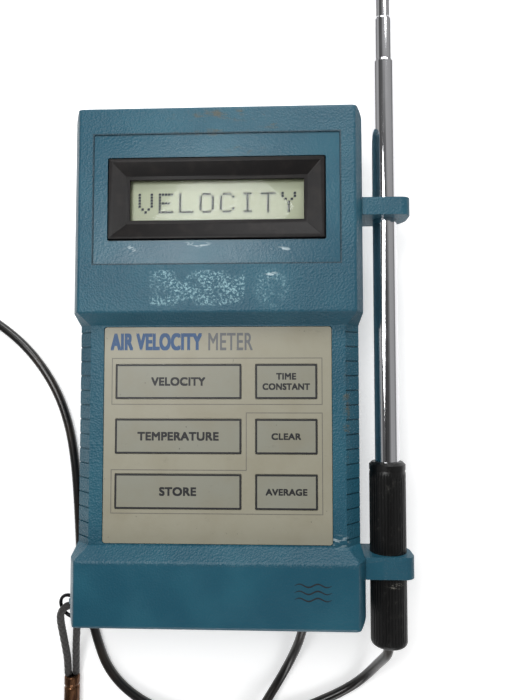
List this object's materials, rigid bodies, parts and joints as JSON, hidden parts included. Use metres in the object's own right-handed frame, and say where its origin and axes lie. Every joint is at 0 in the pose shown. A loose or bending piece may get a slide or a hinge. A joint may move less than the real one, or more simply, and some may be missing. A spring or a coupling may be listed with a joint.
{
  "type": "thermal anemometer",
  "caption": "Hand-held air velocity meter with display, membrane keypad and a telescoping sensor probe on a cable, parked in clips on the case's side.",
  "frame": {"origin": "middle of the case's flat back, on the surface the meter lies on", "axes": "+Y along the case and the probe towards the display end and the sensor tip, +X across to the probe side, +Z out of the keypad"},
  "size_m": [0.2305, 0.4199, 0.0383],
  "materials": {
    "case_teal": "fine pebbled moulded plastic",
    "bezel_black": "satin moulded plastic",
    "window_clear": "clear flat plastic",
    "lcd_glass": "grey-green display glass",
    "white_plastic": "smooth",
    "steel": "zinc plated",
    "pcb": "solder resist",
    "chip_black": "moulded",
    "connector_white": "moulded",
    "overlay": "printed film, satin",
    "key_face": "printed film, satin",
    "sheet_film": "clear polyester film",
    "tray_black": "moulded",
    "battery_can": "printed sleeve",
    "cable_black": "smooth jacket",
    "handle_black": "fluted, satin",
    "chrome_tube": "polished",
    "brass_bush": "turned",
    "sensor_black": "moulded",
    "bead_glass": "glass bead",
    "lanyard_cord": "braided cord",
    "ring_black": "blackened wire",
    "ferrule_bronze": "dulled"
  },
  "bodies": {
    "meter": {"front_shell": "case_teal", "back_shell": "case_teal", "battery_tray": "tray_black", "cell_1": "battery_can", "cell_2": "battery_can", "cell_3": "battery_can", "cell_4": "battery_can", "cell_contacts": "steel", "cell_springs": "steel", "lcd_bezel": "bezel_black", "lcd_window": "window_clear", "lcd_glass": "lcd_glass", "lcd_backlight": "white_plastic", "lcd_frame": "steel", "lcd_spacers": "white_plastic", "switch_sheet": "sheet_film", "key_domes": "steel", "spacer_sheet": "sheet_film", "keypad_overlay": "overlay", "keypad_tail": "sheet_film", "main_board": "pcb", "board_chips": "chip_black", "board_connectors": "connector_white", "board_screws": "steel", "case_screws": "steel", "upper_clip": "case_teal", "lower_clip": "case_teal", "clip_screws": "steel", "handle_sleeve": "handle_black", "handle_collar": "handle_black", "handle_cap": "handle_black", "handle_gland": "cable_black", "probe_tube_1": "chrome_tube", "case_gland": "cable_black", "cable_tube_a": "cable_black", "cable_tube_b": "cable_black", "cable_coil": "cable_black", "lanyard_ring": "ring_black", "lanyard_loop": "lanyard_cord", "lanyard_ferrule": "ferrule_bronze", "wrist_coil": "lanyard_cord"},
    "battery_door": {"battery_door": "case_teal"},
    "key_velocity": {"key_velocity": "key_face"},
    "key_time_constant": {"key_time_constant": "key_face"},
    "key_temperature": {"key_temperature": "key_face"},
    "key_clear": {"key_clear": "key_face"},
    "key_store": {"key_store": "key_face"},
    "key_average": {"key_average": "key_face"},
    "section_2": {"probe_tube_2": "chrome_tube", "guide_bush_2": "brass_bush"},
    "section_3": {"probe_tube_3": "chrome_tube", "guide_bush_3": "brass_bush"},
    "section_4": {"probe_tube_4": "chrome_tube", "guide_bush_4": "brass_bush"},
    "section_5": {"probe_tube_5": "chrome_tube", "guide_bush_5": "brass_bush", "sensor_housing": "chrome_tube", "sensor_core": "sensor_black", "sensor_beads": "bead_glass"}
  },
  "joints": [
    {"name": "section_2_slide", "type": "slide", "parent": "meter", "child": "section_2", "axis": [0, 1, 0], "range_m": [0, 0.15]},
    {"name": "section_3_slide", "type": "slide", "parent": "section_2", "child": "section_3", "axis": [0, 1, 0], "range_m": [0, 0.16]},
    {"name": "section_4_slide", "type": "slide", "parent": "section_3", "child": "section_4", "axis": [0, 1, 0], "range_m": [0, 0.17]},
    {"name": "section_5_slide", "type": "slide", "parent": "section_4", "child": "section_5", "axis": [0, 1, 0], "range_m": [0, 0.18]},
    {"name": "battery_door_slide", "type": "slide", "parent": "meter", "child": "battery_door", "axis": [0, -1, 0], "range_m": [0, 0.01]},
    {"name": "key_velocity_press", "type": "slide", "parent": "meter", "child": "key_velocity", "axis": [0, 0, -1], "range_m": [0, 0.0004], "stiffness_N_per_m": 6000},
    {"name": "key_time_constant_press", "type": "slide", "parent": "meter", "child": "key_time_constant", "axis": [0, 0, -1], "range_m": [0, 0.0004], "stiffness_N_per_m": 6000},
    {"name": "key_temperature_press", "type": "slide", "parent": "meter", "child": "key_temperature", "axis": [0, 0, -1], "range_m": [0, 0.0004], "stiffness_N_per_m": 6000},
    {"name": "key_clear_press", "type": "slide", "parent": "meter", "child": "key_clear", "axis": [0, 0, -1], "range_m": [0, 0.0004], "stiffness_N_per_m": 6000},
    {"name": "key_store_press", "type": "slide", "parent": "meter", "child": "key_store", "axis": [0, 0, -1], "range_m": [0, 0.0004], "stiffness_N_per_m": 6000},
    {"name": "key_average_press", "type": "slide", "parent": "meter", "child": "key_average", "axis": [0, 0, -1], "range_m": [0, 0.0004], "stiffness_N_per_m": 6000}
  ]
}
